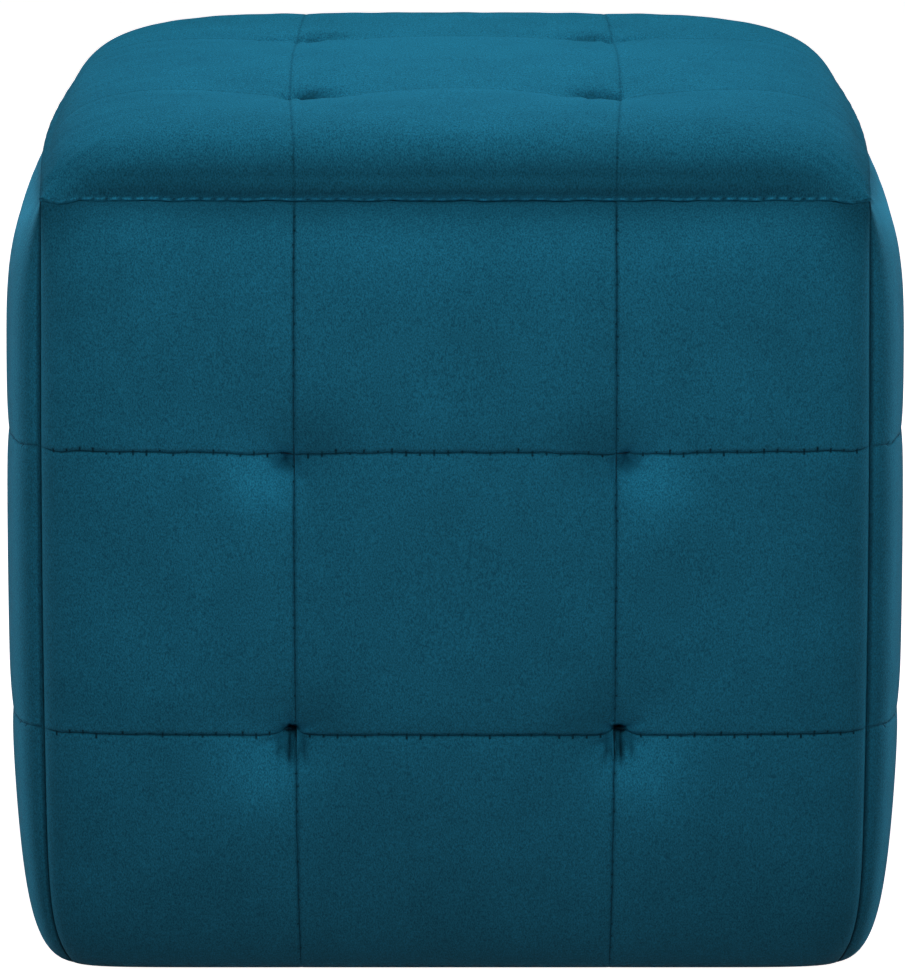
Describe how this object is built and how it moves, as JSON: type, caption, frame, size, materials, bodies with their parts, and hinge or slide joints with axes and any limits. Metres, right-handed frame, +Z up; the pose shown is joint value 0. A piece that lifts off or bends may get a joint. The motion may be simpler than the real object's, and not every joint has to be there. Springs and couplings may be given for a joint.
{
  "type": "cube pouf stool",
  "caption": "Filled velvet cube pouf stool with a crowned seat, bowed sides, stitched quilting and blind tufts on every panel, and a flat base cover to stand on.",
  "frame": {"origin": "middle of the underside of the base cover, on the floor", "axes": "+Z up through the middle of the seat, the front panel faces -Y, +X to the right seen from the front"},
  "size_m": [0.311, 0.311, 0.2996],
  "materials": {
    "velvet": "short cut pile in petrol blue, with a soft sheen",
    "base_cloth": "matt black lining cloth"
  },
  "bodies": {
    "root": {"top_panel": "velvet", "front_panel": "velvet", "right_panel": "velvet", "back_panel": "velvet", "left_panel": "velvet", "base_cover": "base_cloth"}
  },
  "joints": []
}
